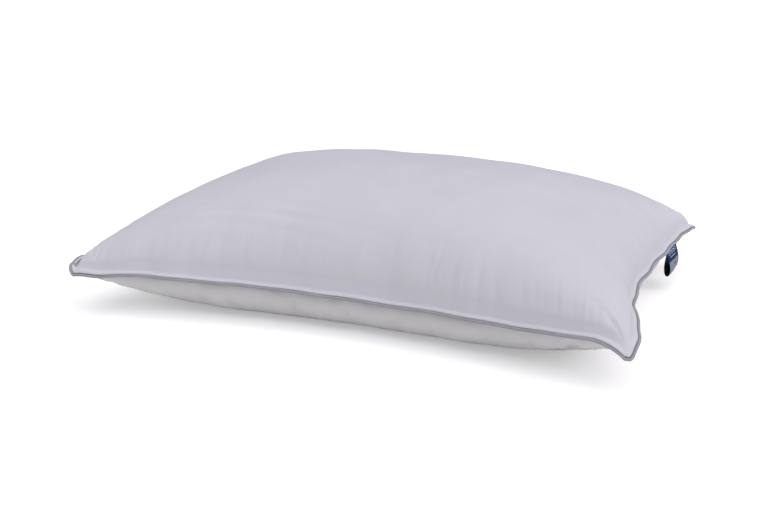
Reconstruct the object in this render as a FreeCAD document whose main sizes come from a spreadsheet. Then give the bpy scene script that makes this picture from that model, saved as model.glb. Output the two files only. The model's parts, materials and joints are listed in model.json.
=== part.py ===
import FreeCAD, Part
import math
import os

import Sketcher
from FreeCAD import Placement, Rotation, Vector

# A bed pillow lying flat.  +X runs along its length, +Y across it, +Z up.
# The origin is on the surface that the pillow rests on, under its middle.
# All sizes are in millimetres.

DIMENSIONS = {
    "seam_length": 675,      # panel seam line, corner to corner along X, pillow filled
    "seam_width": 473,       # panel seam line, corner to corner along Y, pillow filled
    "corner_radius": 9,      # rounding of the seam line at the corners
    "draw_long": 36,         # how far the middle of a long side is drawn in by the filling
    "draw_short": 28,        # how far the middle of a short side is drawn in
    "seam_height": 56,       # seam plane above the resting surface
    "loft": 169,             # resting surface to crown
    "crown_fullness": 0.3,   # 0 gives an elliptical crown, 0.5 the flattest
    "belly_drop": 78,        # depth that the lower panel would have if nothing flattened it
    "panel_thickness": 1,    # down-proof cambric with the batt that clings to it
    "rim_width": 6,          # flat flange between the piping and the topstitch
    "lower_setback": 1.7,    # lower flange edge behind the upper one, under the piping
    "fill_clearance": 0.3,   # between the filling and the crown of a panel
    "waist_inset": 3,        # the filling stops this far short of the flange
    "tail_layer": 0.8,       # piping tail: two layers of bias strip
    "tail_depth": 5.2,       # how far the tail reaches in between the flanges
    "cover_thickness": 0.4,  # one layer of bias strip
    "cord_radius": 1.15,     # filler cord of the piping
    "cord_clearance": 0.05,  # cord to its cover
    "piping_gap": 0.3,       # neck between the panel seam line and the piping
    "thread_radius": 0.25,   # sewing thread
    "seam_inset": 1.7,       # assembly seam behind the seam line
    "topstitch_inset": 4.4,  # topstitch row behind the seam line
    "closing_inset": 3.2,    # closing row behind the seam line
    "closing_length": 180,   # opening through which the pillow was filled
    "label_offset": 132,     # label centre from the middle of the short side
    "label_width": 44,       # label along the seam
    "label_drop": 34,        # hinge line to the lowest point of the label's loop
    "label_neck": 6,         # length over which the label's two leaves lie together
    "label_cloth": 0.4,      # one leaf of woven ribbon
    "loop_radius": 3.6,      # outside of the loop where the ribbon turns back
    "label_tuck": 4.6,       # label end sewn in behind the seam line
    "label_play": 0.5,       # clearance of the label from the fixed pieces
    "hinge_drop": 3,         # hinge line of the label below the seam plane
}

doc = FreeCAD.newDocument("bed_pillow")
sheet = doc.addObject("Spreadsheet::Sheet", "Dimensions")
for row, (alias, number) in enumerate(DIMENSIONS.items(), start=1):
    sheet.set(f"A{row}", alias.replace("_", " "))
    sheet.set(f"B{row}", str(number))
    sheet.setAlias(f"B{row}", alias)
doc.recompute()


def size(*terms):
    """Sum of named sizes; a leading minus subtracts one."""
    total = 0.0
    for term in terms:
        sign = -1 if term.startswith("-") else 1
        total += sign * float(sheet.get(term.lstrip("-")))
    return total


def formula(*terms):
    """The same sum as an expression on the sheet."""
    text = "0"
    for term in terms:
        sign = "-" if term.startswith("-") else "+"
        text += f" {sign} Dimensions.{term.lstrip('-')}"
    return f"({text})"


def flip(term):
    """The same term with the other sign."""
    return term[1:] if term.startswith("-") else f"-{term}"


def bind(sketch, constraint, name, expression):
    """Add a constraint and tie its value to the sheet."""
    index = sketch.addConstraint(constraint)
    sketch.renameConstraint(index, name)
    sketch.setExpression(f"Constraints.{name}", expression)


# The seam line: each side is an arc that bows inwards, and each corner a small arc tangent to two sides.
# The side radius follows from the corner circle and the draw-in at the middle of the side.


def side_radius(span, draw):
    """Radius of a side whose corner circles are half a span from its middle."""
    corner = size("corner_radius")
    half = size(span) / 2 - corner
    pull = size(draw)
    return (half**2 + (corner - pull) ** 2 - corner**2) / (2 * pull)


def side_formula(span, draw):
    corner = "Dimensions.corner_radius"
    half = f"(Dimensions.{span} / 2 - {corner})"
    pull = f"Dimensions.{draw}"
    return f"(({half}^2 + ({corner} - {pull})^2 - {corner}^2) / (2 * {pull}))"


LONG_SIDE = ("seam_length", "draw_long")
SHORT_SIDE = ("seam_width", "draw_short")
PIPING_RADIUS = ("cord_radius", "cord_clearance", "cover_thickness")
PIPING_LINE = ("-piping_gap", "-cord_radius", "-cord_clearance", "-cover_thickness")


def arc(centre, radius, start_angle, end_angle):
    circle = Part.Circle(Vector(*centre, 0), Vector(0, 0, 1), radius)
    return Part.ArcOfCircle(circle, start_angle, end_angle)


def add_outline(sketch, name, inset):
    """One closed loop of nine tangent arcs, inset from the seam line, from the back middle."""
    corner = size("corner_radius")
    shift = size(*inset)
    reach_x = size("seam_length") / 2 - corner
    reach_y = size("seam_width") / 2 - corner
    long_radius = side_radius(*LONG_SIDE)
    short_radius = side_radius(*SHORT_SIDE)
    centre_y = size("seam_width") / 2 - size("draw_long") + long_radius
    centre_x = size("seam_length") / 2 - size("draw_short") + short_radius
    lean_long = math.atan2(reach_x, centre_y - reach_y)
    lean_short = math.atan2(reach_y, centre_x - reach_x)
    quarter = math.pi / 2
    big_long = long_radius + shift
    big_short = short_radius + shift
    small = corner - shift
    back = 3 * quarter
    pieces = [
        arc((0, centre_y), big_long, back - lean_long, back),
        arc((-reach_x, reach_y), small, quarter - lean_long, math.pi + lean_short),
        arc((-centre_x, 0), big_short, -lean_short, lean_short),
        arc((-reach_x, -reach_y), small, math.pi - lean_short, back + lean_long),
        arc((0, -centre_y), big_long, quarter - lean_long, quarter + lean_long),
        arc((reach_x, -reach_y), small, back - lean_long, 2 * math.pi + lean_short),
        arc((centre_x, 0), big_short, math.pi - lean_short, math.pi + lean_short),
        arc((reach_x, reach_y), small, -lean_short, quarter + lean_long),
        arc((0, centre_y), big_long, back, back + lean_long),
    ]
    ids = [sketch.addGeometry(piece, False) for piece in pieces]
    # (arc, its end that meets the next arc, next arc, the end of that arc)
    joints = [(0, 1, 1, 1), (1, 2, 2, 2), (2, 1, 3, 1), (3, 2, 4, 2), (4, 1, 5, 1)]
    joints += [(5, 2, 6, 2), (6, 1, 7, 1), (7, 2, 8, 2), (8, 1, 0, 2)]
    for one, one_end, other, other_end in joints:
        link = ("Tangent", ids[one], one_end, ids[other], other_end)
        sketch.addConstraint(Sketcher.Constraint(*link))
    sketch.addConstraint(Sketcher.Constraint("PointOnObject", ids[0], 2, -2))
    small_text = formula("corner_radius", *[flip(term) for term in inset])
    for index, way_x, way_y in ((1, -1, 1), (3, -1, -1), (5, 1, -1), (7, 1, 1)):
        across = Sketcher.Constraint("DistanceX", -1, 1, ids[index], 3, way_x * reach_x)
        along = Sketcher.Constraint("DistanceY", -1, 1, ids[index], 3, way_y * reach_y)
        half_x = f"{way_x} * (Dimensions.seam_length / 2 - Dimensions.corner_radius)"
        half_y = f"{way_y} * (Dimensions.seam_width / 2 - Dimensions.corner_radius)"
        bind(sketch, across, f"{name}_corner_x{index}", half_x)
        bind(sketch, along, f"{name}_corner_y{index}", half_y)
        rounding = Sketcher.Constraint("Radius", ids[index], small)
        bind(sketch, rounding, f"{name}_rounding{index}", small_text)
    for index, sides, radius in (
        (0, LONG_SIDE, big_long),
        (2, SHORT_SIDE, big_short),
        (4, LONG_SIDE, big_long),
        (6, SHORT_SIDE, big_short),
        (8, LONG_SIDE, big_long),
    ):
        bow = Sketcher.Constraint("Radius", ids[index], radius)
        bind(sketch, bow, f"{name}_bow{index}", f"{side_formula(*sides)} + {formula(*inset)}")


def new_body(label, height):
    """A body whose own XY plane is at a height given as a sum of named sizes."""
    body = doc.addObject("PartDesign::Body", label)
    body.Label = label
    body.Placement = Placement(Vector(0, 0, size(*height)), Rotation())
    body.setExpression("Placement.Base.z", formula(*height))
    return body


def new_sketch(body, name, role="XY_Plane"):
    sketch = body.newObject("Sketcher::SketchObject", f"{body.Label}_{name}")
    plane = next(item for item in body.Origin.OriginFeatures if item.Role == role)
    sketch.AttachmentSupport = [(plane, "")]
    sketch.MapMode = "FlatFace"
    return sketch


def run_sweep(body, name, path, section, kind="AdditivePipe"):
    """Carry a section along the nine arcs of a path."""
    pipe = body.newObject(f"PartDesign::{kind}", f"{body.Label}_{name}")
    pipe.Profile = section
    pipe.Spine = (path, [f"Edge{number}" for number in range(1, 10)])
    pipe.Mode = "Standard"
    doc.recompute()


def add_circle(sketch, name, inset, radius):
    """Circle in a section sketch, at the back middle of the outline inset from the seam."""
    inward = [flip(term) for term in inset]
    start = size("seam_width") / 2 + size("-draw_long", *inward)
    circle = Part.Circle(Vector(start, 0, 0), Vector(0, 0, 1), size(*radius))
    index = sketch.addGeometry(circle, False)
    sketch.addConstraint(Sketcher.Constraint("PointOnObject", index, 3, -1))
    reach = Sketcher.Constraint("DistanceX", -1, 1, index, 3, start)
    place = f"Dimensions.seam_width / 2 + {formula('-draw_long', *inward)}"
    bind(sketch, reach, f"{name}_reach", place)
    rounding = Sketcher.Constraint("Radius", index, size(*radius))
    bind(sketch, rounding, f"{name}_radius", formula(*radius))
    return index


def sweep_ring(body, name, inset, radius, kind="AdditivePipe"):
    """A round ring, or a round channel, along the outline inset from the seam line."""
    path = new_sketch(body, f"{name}_path")
    add_outline(path, "path", inset)
    section = new_sketch(body, f"{name}_section", "YZ_Plane")
    add_circle(section, name, inset, radius)
    doc.recompute()
    run_sweep(body, name, path, section, kind)


# Where the label sits on the +X side.
SIDE_TEXT = side_formula(*SHORT_SIDE)
LEAN_TEXT = f"asin(Dimensions.label_offset / {SIDE_TEXT})"
SIDE_CENTRE_TEXT = f"(Dimensions.seam_length / 2 - Dimensions.draw_short + {SIDE_TEXT})"


def label_placement(height, inset):
    """Placement at the label: local X points out across the seam, local Y along it."""
    radius = side_radius(*SHORT_SIDE)
    lean = math.asin(size("label_offset") / radius)
    centre = size("seam_length") / 2 - size("draw_short") + radius
    reach = radius + size(*inset)
    point = Vector(centre - reach * math.cos(lean), reach * math.sin(lean), size(*height))
    return Placement(point, Rotation(Vector(0, 0, 1), -math.degrees(lean)))


def bind_to_label(item, prefix, height, inset):
    """Tie a placement property to the sheet as label_placement works it out."""
    reach = f"({SIDE_TEXT} + {formula(*inset)})"
    x_text = f"{SIDE_CENTRE_TEXT} - {reach} * cos({LEAN_TEXT})"
    setattr(item, prefix, label_placement(height, inset))
    item.setExpression(f"{prefix}.Base.x", x_text)
    item.setExpression(f"{prefix}.Base.y", f"{reach} * sin({LEAN_TEXT})")
    item.setExpression(f"{prefix}.Base.z", formula(*height))


def pad_sketch(body, name, sketch, length, midplane=False):
    """Pad a sketch by an expression on the sheet."""
    pad = body.newObject("PartDesign::Pad", f"{body.Label}_{name}")
    pad.Profile = sketch
    pad.setExpression("Length", length)
    if midplane:
        pad.Midplane = True
    doc.recompute()
    return pad


def add_polygon(sketch, name, points):
    """Closed polygon; each corner is (x size, x expression, y size, y expression)."""
    ids = []
    for index, corner in enumerate(points):
        following = points[(index + 1) % len(points)]
        start = Vector(corner[0], corner[2], 0)
        end = Vector(following[0], following[2], 0)
        ids.append(sketch.addGeometry(Part.LineSegment(start, end), False))
    for index, line in enumerate(ids):
        following = ids[(index + 1) % len(ids)]
        sketch.addConstraint(Sketcher.Constraint("Coincident", line, 2, following, 1))
    for index, (across, across_text, along, along_text) in enumerate(points):
        line = ids[index]
        x_place = Sketcher.Constraint("DistanceX", -1, 1, line, 1, across)
        y_place = Sketcher.Constraint("DistanceY", -1, 1, line, 1, along)
        bind(sketch, x_place, f"{name}_x{index}", across_text)
        bind(sketch, y_place, f"{name}_y{index}", along_text)


def corner_of(x_terms, y_terms, x_share=1.0, y_share=1.0):
    """One polygon corner: each place is a share of a sum of named sizes."""
    return (
        x_share * size(*x_terms),
        f"{x_share} * {formula(*x_terms)}",
        y_share * size(*y_terms),
        f"{y_share} * {formula(*y_terms)}",
    )


def add_strip_section(sketch):
    """Bias strip in section: round the cord, with a flat tail towards the pillow."""
    radius = size(*PIPING_RADIUS)
    half = size("tail_layer") / 2
    middle = size("seam_width") / 2 + size("-draw_long", *[flip(term) for term in PIPING_LINE])
    tail_end = size("seam_width") / 2 + size("-draw_long", "-tail_depth")
    neck = math.pi - math.asin(half / radius)
    join = middle + radius * math.cos(neck)
    circle = Part.Circle(Vector(middle, 0, 0), Vector(0, 0, 1), radius)
    round_side = sketch.addGeometry(Part.ArcOfCircle(circle, -neck, neck), False)
    corners = [(join, half), (tail_end, half), (tail_end, -half), (join, -half)]
    points = [Vector(across, up, 0) for across, up in corners]
    sides = [Part.LineSegment(one, two) for one, two in zip(points, points[1:])]
    ids = [sketch.addGeometry(side, False) for side in sides]
    links = [(round_side, 2, ids[0], 1), (ids[0], 2, ids[1], 1), (ids[1], 2, ids[2], 1)]
    links.append((ids[2], 2, round_side, 1))
    for link in links:
        sketch.addConstraint(Sketcher.Constraint("Coincident", *link))
    base = "Dimensions.seam_width / 2 - Dimensions.draw_long"
    outward = formula(*[flip(term) for term in PIPING_LINE])
    sketch.addConstraint(Sketcher.Constraint("PointOnObject", round_side, 3, -1))
    place = Sketcher.Constraint("DistanceX", -1, 1, round_side, 3, middle)
    bind(sketch, place, "strip_place", f"{base} + {outward}")
    rounding = Sketcher.Constraint("Radius", round_side, radius)
    bind(sketch, rounding, "strip_radius", formula(*PIPING_RADIUS))
    for index, (line, end, way) in enumerate([(ids[0], 2, 1), (ids[1], 2, -1)]):
        across = Sketcher.Constraint("DistanceX", -1, 1, line, end, tail_end)
        bind(sketch, across, f"tail_reach{index}", f"{base} - Dimensions.tail_depth")
        up = Sketcher.Constraint("DistanceY", -1, 1, line, end, way * half)
        bind(sketch, up, f"tail_half{index}", f"{way} * Dimensions.tail_layer / 2")
    sketch.addConstraint(Sketcher.Constraint("Horizontal", ids[0]))
    sketch.addConstraint(Sketcher.Constraint("Horizontal", ids[2]))


def make_piping_cover():
    """Bias strip with a bore for the cord and a channel for the assembly seam."""
    body = new_body("piping_cover", ["seam_height"])
    path = new_sketch(body, "strip_path")
    add_outline(path, "path", PIPING_LINE)
    section = new_sketch(body, "strip_section", "YZ_Plane")
    add_strip_section(section)
    doc.recompute()
    run_sweep(body, "strip", path, section)
    bore = ["cord_radius", "cord_clearance"]
    sweep_ring(body, "bore", PIPING_LINE, bore, "SubtractivePipe")
    sweep_ring(body, "channel", ["seam_inset"], ["thread_radius"], "SubtractivePipe")
    notch = new_sketch(body, "label_notch")
    bind_to_label(notch, "AttachmentOffset", ["tail_layer"], [])
    inner = ["-tail_depth", "-label_play"]
    width = ["label_width", "label_play"]
    corners = [
        corner_of(inner, width, 1, -0.5),
        corner_of([], width, 1, -0.5),
        corner_of([], width, 1, 0.5),
        corner_of(inner, width, 1, 0.5),
    ]
    add_polygon(notch, "notch", corners)
    pocket = body.newObject("PartDesign::Pocket", "piping_cover_label_notch_cut")
    pocket.Profile = notch
    pocket.setExpression("Length", "2 * Dimensions.tail_layer")
    doc.recompute()
    return body


def make_label_tail():
    """The sewn-in end of the label: flat between the flanges, then down behind the piping."""
    body = doc.addObject("PartDesign::Body", "label_tail")
    bind_to_label(body, "Placement", ["seam_height"], [])
    body.Placement.Rotation = label_placement(["seam_height"], []).Rotation
    sketch = new_sketch(body, "profile", "XZ_Plane")
    half = 0.5
    leg_out = ["-label_cloth"]
    leg_in = ["-label_cloth", "-label_cloth", "-label_cloth"]
    foot = ["-hinge_drop", "label_cloth", "label_play"]
    corners = [
        corner_of(["-label_tuck"], ["tail_layer"], 1, half),
        corner_of(["-label_tuck"], ["tail_layer"], 1, -half),
        corner_of(leg_in, ["tail_layer"], 1, -half),
        corner_of(leg_in, foot),
        corner_of(leg_out, foot),
        corner_of(leg_out, ["tail_layer"], 1, half),
    ]
    add_polygon(sketch, "profile", corners)
    pad_sketch(body, "strip", sketch, "Dimensions.label_width", midplane=True)
    return body


def add_teardrop(sketch, name, top, radius, neck=None):
    """Closed drop: flanks from the top, or from a neck (half width, foot), to a lower arc."""
    reach = size(*radius)
    centre = size("loop_radius", "-label_drop")
    high = size(*top)
    half, foot = (size(*neck[0]), size(*neck[1])) if neck else (0, high)
    tip_r = Vector(half, foot, 0)
    tip_l = Vector(-half, foot, 0)
    slope = math.atan2(half, foot - centre)
    swing = math.acos(reach / math.hypot(half, foot - centre))
    angle = math.pi / 2 - slope - swing
    touch_r = Vector(reach * math.cos(angle), centre + reach * math.sin(angle), 0)
    touch_l = Vector(-touch_r.x, touch_r.y, 0)
    right = sketch.addGeometry(Part.LineSegment(tip_r, touch_r), False)
    left = sketch.addGeometry(Part.LineSegment(tip_l, touch_l), False)
    circle = Part.Circle(Vector(0, centre, 0), Vector(0, 0, 1), reach)
    bend = sketch.addGeometry(Part.ArcOfCircle(circle, math.pi - angle, angle), False)
    sketch.addConstraint(Sketcher.Constraint("Tangent", right, 2, bend, 2))
    sketch.addConstraint(Sketcher.Constraint("Tangent", left, 2, bend, 1))
    sketch.addConstraint(Sketcher.Constraint("PointOnObject", bend, 3, -2))
    low = Sketcher.Constraint("DistanceY", -1, 1, bend, 3, centre)
    bind(sketch, low, f"{name}_centre", formula("loop_radius", "-label_drop"))
    bind(sketch, Sketcher.Constraint("Radius", bend, reach), f"{name}_bend", formula(*radius))
    if neck is None:
        sketch.addConstraint(Sketcher.Constraint("Coincident", right, 1, left, 1))
        sketch.addConstraint(Sketcher.Constraint("PointOnObject", right, 1, -2))
        apex = Sketcher.Constraint("DistanceY", -1, 1, right, 1, high)
        bind(sketch, apex, f"{name}_apex", formula(*top))
        return
    corners = [tip_r, Vector(half, high, 0), Vector(-half, high, 0), tip_l]
    sides = [Part.LineSegment(one, two) for one, two in zip(corners, corners[1:])]
    ids = [sketch.addGeometry(side, False) for side in sides]
    chain = [(right, 1, ids[0], 1), (ids[0], 2, ids[1], 1), (ids[1], 2, ids[2], 1)]
    chain.append((ids[2], 2, left, 1))
    for link in chain:
        sketch.addConstraint(Sketcher.Constraint("Coincident", *link))
    ends = [(ids[0], 1, 1, foot), (ids[1], 1, 1, high), (ids[1], 2, -1, high)]
    ends.append((left, 1, -1, foot))
    for number, (line, end, way, level) in enumerate(ends):
        across = Sketcher.Constraint("DistanceX", -1, 1, line, end, way * half)
        bind(sketch, across, f"{name}_half{number}", f"{way} * {formula(*neck[0])}")
        along = Sketcher.Constraint("DistanceY", -1, 1, line, end, level)
        level_terms = top if level == high else neck[1]
        bind(sketch, along, f"{name}_level{number}", formula(*level_terms))


def make_woven_label():
    """A ribbon folded into an open loop, free to swing about its stitched edge."""
    body = doc.addObject("PartDesign::Body", "woven_label")
    drop = ["seam_height", "-hinge_drop"]
    bind_to_label(body, "Placement", drop, ["label_cloth", "label_cloth"])
    sketch = new_sketch(body, "profile", "XZ_Plane")
    neck = [["label_cloth"], ["-label_neck"]]
    add_teardrop(sketch, "loop", ["label_cloth"], ["loop_radius"], neck)
    apex = ["-label_neck", "-label_cloth", "-label_cloth"]
    add_teardrop(sketch, "hollow", apex, ["loop_radius", "-label_cloth"])
    pad_sketch(body, "loop", sketch, "Dimensions.label_width", midplane=True)
    return body


# The sewn panels have no flat pattern left once filled, so their crowns are free surfaces:
# x and y spread the outline inwards, and the height is an elliptical crown in each
# direction, cos(s) * (1 + fullness * sin(s)^2), whose tangent is upright at the seam.

CROWN_STEPS = 20
CORNER_ROUNDS = 20  # rounds of stepping to the point where two sides cross


def crown_face(inset, base, height, fullness):
    """Free surface over the outline inset from the seam line, with sharp corners."""
    long_radius = side_radius(*LONG_SIDE) + inset
    short_radius = side_radius(*SHORT_SIDE) + inset
    centre_y = size("seam_width") / 2 - size("draw_long") + long_radius - inset
    centre_x = size("seam_length") / 2 - size("draw_short") + short_radius - inset

    def side_x(y):
        return centre_x - math.sqrt(short_radius**2 - y**2)

    def side_y(x):
        return centre_y - math.sqrt(long_radius**2 - x**2)

    corner_x = size("seam_length") / 2 - inset
    corner_y = size("seam_width") / 2 - inset
    for _ in range(CORNER_ROUNDS):
        corner_x = side_x(corner_y)
        corner_y = side_y(corner_x)
    angles = [math.pi * (k / CROWN_STEPS - 0.5) for k in range(CROWN_STEPS + 1)]
    poles = []
    for along in angles:
        u = math.sin(along)
        row = []
        for across in angles:
            v = math.sin(across)
            rise = math.cos(along) * (1 + fullness * u**2)
            rise *= math.cos(across) * (1 + fullness * v**2)
            x = u * side_x(v * corner_y)
            y = v * side_y(u * corner_x)
            row.append(Vector(x, y, base + height * rise))
        poles.append(row)
    knots = list(range(CROWN_STEPS - 1))
    repeats = [4] + [1] * (CROWN_STEPS - 3) + [4]
    surface = Part.BSplineSurface()
    surface.buildFromPolesMultsKnots(
        poles, repeats, repeats, knots, knots, False, False, 3, 3
    )
    return surface.toShape()


def crown_solid(inset, base, height, fullness):
    """The crown closed by the plane through its edge."""
    crown = crown_face(inset, base, height, fullness)
    floor = Part.Face(Part.Wire(Part.__sortEdges__(crown.Edges)))
    shell = Part.Shell([crown, floor])
    shell.sewShape()
    return Part.Solid(shell)


def outline_wire(setback, level):
    """The seam line's rounded outline, set back and lifted to a level."""
    scratch = doc.addObject("Sketcher::SketchObject", "scratch_outline")
    add_outline(scratch, "plate", setback)
    doc.recompute()
    wire = scratch.Shape.Wires[0].copy()
    doc.removeObject(scratch.Name)
    wire.translate(Vector(0, 0, level))
    return wire


def flanged_crown(setback, level, wall, height):
    """A crown that stands on a flat flange; both walls and height are below zero to hang."""
    near = outline_wire(setback, level)
    far = outline_wire(setback, level + wall)
    crown = crown_face(size("rim_width"), level + wall, height - wall, size("crown_fullness"))
    edge = Part.Wire(Part.__sortEdges__(crown.Edges))
    ledge = Part.makeFace([far, edge], "Part::FaceMakerBullseye")
    base = Part.makeFace([near], "Part::FaceMakerBullseye")
    sides = near.extrude(Vector(0, 0, wall)).Faces
    shell = Part.Shell([crown, ledge, base, *sides])
    shell.sewShape()
    return Part.Solid(shell)


def above(level):
    """A block that holds everything above a level."""
    reach = size("seam_length", "seam_width")
    corner = Vector(-reach / 2, -reach / 2, level)
    return Part.makeBox(reach, reach, reach, corner)


def shape_feature(label, shape):
    feature = doc.addObject("Part::Feature", label)
    feature.Shape = shape.removeSplitter()
    feature.Placement = Placement(Vector(0, 0, 0), Rotation())
    return feature


def make_top_panel():
    """Crowned upper panel with its flat flange."""
    wall = size("panel_thickness")
    low = size("seam_height") + size("tail_layer") / 2
    rise = size("loft") - low
    outer = flanged_crown([], low, wall, rise)
    inner = crown_solid(size("rim_width") + wall, low, rise - wall, size("crown_fullness"))
    return shape_feature("top_panel", outer.cut(inner))


def belly_solid(inset, depth):
    """Lower crown, which hangs down from the seam plane."""
    low = size("seam_height") - size("tail_layer") / 2
    return crown_solid(inset, low, -depth, size("crown_fullness"))


def make_bottom_panel():
    """Lower panel, pressed flat where the pillow rests."""
    wall = size("panel_thickness")
    low = size("seam_height") - size("tail_layer") / 2
    outer = flanged_crown(["lower_setback"], low, -wall, -size("belly_drop"))
    inner = belly_solid(size("rim_width") + wall, size("belly_drop", "-panel_thickness"))
    hollow = inner.common(above(wall))
    return shape_feature("bottom_panel", outer.common(above(0)).cut(hollow))


def make_down_fill():
    """The filling: both crowns, joined by a waist between the flanges."""
    wall = size("panel_thickness")
    gap = size("fill_clearance")
    inset = size("rim_width") + wall + gap
    layer = size("tail_layer")
    upper_low = size("seam_height") + layer / 2
    rise = size("loft") - upper_low - wall - gap
    upper = crown_solid(inset, upper_low, rise, size("crown_fullness"))
    lower = belly_solid(inset, size("belly_drop") - wall - gap).common(above(wall))
    setback = size("rim_width", "panel_thickness", "fill_clearance", "waist_inset")
    edge = crown_face(setback, upper_low - layer, 0, 0).Edges
    waist = Part.Face(Part.Wire(Part.__sortEdges__(edge))).extrude(Vector(0, 0, layer))
    return shape_feature("down_fill", upper.fuse([waist, lower]))


def make_closing_stitch():
    """Row of stitches that closes the filling opening, on top of the -X flange."""
    torus = doc.addObject("Part::Torus", "closing_stitch")
    half = f"(90 * Dimensions.closing_length / (pi * {SIDE_TEXT}))"
    height = ["seam_height", "panel_thickness", "thread_radius"]
    torus.setExpression("Radius1", f"{SIDE_TEXT} + Dimensions.closing_inset")
    torus.setExpression("Radius2", "Dimensions.thread_radius")
    torus.setExpression("Angle3", f"2 * {half}")
    torus.Placement = Placement(Vector(), Rotation(Vector(0, 0, 1), -1))
    torus.setExpression("Placement.Base.x", f"-{SIDE_CENTRE_TEXT}")
    torus.setExpression("Placement.Base.z", f"{formula(*height)} + Dimensions.tail_layer / 2")
    torus.setExpression("Placement.Rotation.Angle", f"-{half}")
    return torus


def write_all(parts):
    """Write every sub-part once the whole document is sound."""
    doc.recompute()
    for item in doc.Objects:
        state = [word for word in item.State if word in ("Invalid", "Error")]
        if state:
            raise RuntimeError(f"{item.Label} is {state}")
    for item in parts:
        if item.Shape.isNull() or not item.Shape.isValid():
            raise RuntimeError(f"{item.Label} has no valid shape")
    os.makedirs("parts", exist_ok=True)
    for item in parts:
        item.Shape.exportStep(f"parts/{item.Label}.step")
        solids = len(item.Shape.Solids)
        print(f"{item.Label}: {solids} solid, {item.Shape.Volume:.1f} mm3")


def make_topstitch(label, side):
    """One thread of the lockstitch row through the flanges: side is 1 above, -1 below."""
    body = new_body(label, ["seam_height"])
    away = "Dimensions.tail_layer / 2 + Dimensions.panel_thickness + Dimensions.thread_radius"
    body.setExpression("Placement.Base.z", f"Dimensions.seam_height + {side} * ({away})")
    sweep_ring(body, "thread", ["topstitch_inset"], ["thread_radius"])
    return body


def make_piping_cord():
    body = new_body("piping_cord", ["seam_height"])
    sweep_ring(body, "cord", PIPING_LINE, ["cord_radius"])
    return body


def make_assembly_seam():
    """The thread that joins both panels to the piping tail."""
    body = new_body("assembly_seam", ["seam_height"])
    sweep_ring(body, "thread", ["seam_inset"], ["thread_radius"])
    return body


write_all(
    [
        make_top_panel(),
        make_bottom_panel(),
        make_down_fill(),
        make_piping_cord(),
        make_piping_cover(),
        make_assembly_seam(),
        make_topstitch("topstitch_needle_thread", 1),
        make_topstitch("topstitch_bobbin_thread", -1),
        make_closing_stitch(),
        make_label_tail(),
        make_woven_label(),
    ]
)
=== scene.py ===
import json
import math

import bmesh
import bpy
import numpy as np
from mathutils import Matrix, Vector


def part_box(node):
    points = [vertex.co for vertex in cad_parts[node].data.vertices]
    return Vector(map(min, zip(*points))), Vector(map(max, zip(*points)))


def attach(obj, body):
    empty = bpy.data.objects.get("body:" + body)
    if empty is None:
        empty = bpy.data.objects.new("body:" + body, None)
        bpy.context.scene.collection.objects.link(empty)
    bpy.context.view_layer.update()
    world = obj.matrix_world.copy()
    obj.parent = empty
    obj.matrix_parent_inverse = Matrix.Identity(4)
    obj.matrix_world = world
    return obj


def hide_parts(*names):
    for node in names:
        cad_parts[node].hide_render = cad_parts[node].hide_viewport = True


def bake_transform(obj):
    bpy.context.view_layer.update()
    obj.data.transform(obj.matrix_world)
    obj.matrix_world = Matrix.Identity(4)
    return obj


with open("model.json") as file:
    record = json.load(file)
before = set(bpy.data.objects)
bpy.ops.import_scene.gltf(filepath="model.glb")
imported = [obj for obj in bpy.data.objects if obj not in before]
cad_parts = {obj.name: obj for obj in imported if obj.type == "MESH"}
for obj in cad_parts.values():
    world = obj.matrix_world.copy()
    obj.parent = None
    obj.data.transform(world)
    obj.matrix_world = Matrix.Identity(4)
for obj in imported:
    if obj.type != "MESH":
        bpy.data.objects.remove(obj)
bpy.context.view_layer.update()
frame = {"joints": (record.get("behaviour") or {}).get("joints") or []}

seamLow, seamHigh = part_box("top_panel")
cordLow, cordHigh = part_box("piping_cord")
seamZ = (cordLow[2] + cordHigh[2]) / 2
halfLength, halfWidth = seamHigh[0], seamHigh[1]
loft = seamHigh[2]
print("frame read, seam at", round(seamZ, 4))

# Shape of the sewn shell.  u runs along the pillow and v across it, both from -1 to 1.
# Sides and corners are counted front, right, back, left and front left, front right,
# back right, back left.

shell = dict(
    flange=0.006,  # from the crown's foot to the seam line
    pipingOut=0.0079,  # from the crown's foot to the cord's middle
    rim=0.0014,  # outer face of a flange above the seam plane
    drawLong=0.0392,  # draw-in of a long side
    drawShort=0.0293,
    bow=1.49,  # above 1 the draw-in gathers at the middle
    crownFlat=2.49,  # above 2 the crown is flatter on top
    crownPower=0.453,  # below 1 the crown stands up steeply at the seam
    bellyPower=0.403,
    bellyDrop=1.48,  # depth of the belly over the seam height, before the floor stops it
    floorSoft=0.006,  # how softly the belly meets the floor
    cornerRise=(0.0020, -0.0040, 0.006, 0.002),
    cornerReach=5.0,  # how tightly the rise keeps to the corner
    tipRise=(-0.0055, -0.0092, -0.006, -0.002),
    tipReach=48.0,
    tipShift=((0.0, 0.0), (-0.0035, 0.0), (0.0, 0.0), (0.0, 0.0)),
    cornerSquare=(2.0, 6.0, 5.0, 4.0),  # 2 is a round corner of the seam, more is squarer
    tilt=-0.5,  # slope of the flange, which hangs a little outwards
    earSlope=(0.30, -0.30, 0.0, 0.2),  # more of it at each corner
    earTwist=(0.70, 0.0, 0.0, 0.0),  # one side of the corner up, the other down
    twistReach=26.0,
    pinch=(0.06, 0.50, 0.50, 0.40),  # how much flatter the belly is at the corners
    crownPinch=(0.14, 0.0, 0.0, 0.06),
    pinchReach=9.0,
    cornerFan=9,
    columns=264,
    rows=150,
    flatLength=0.70,  # the cut of one face of the case
    flatWidth=0.50,
)

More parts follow.
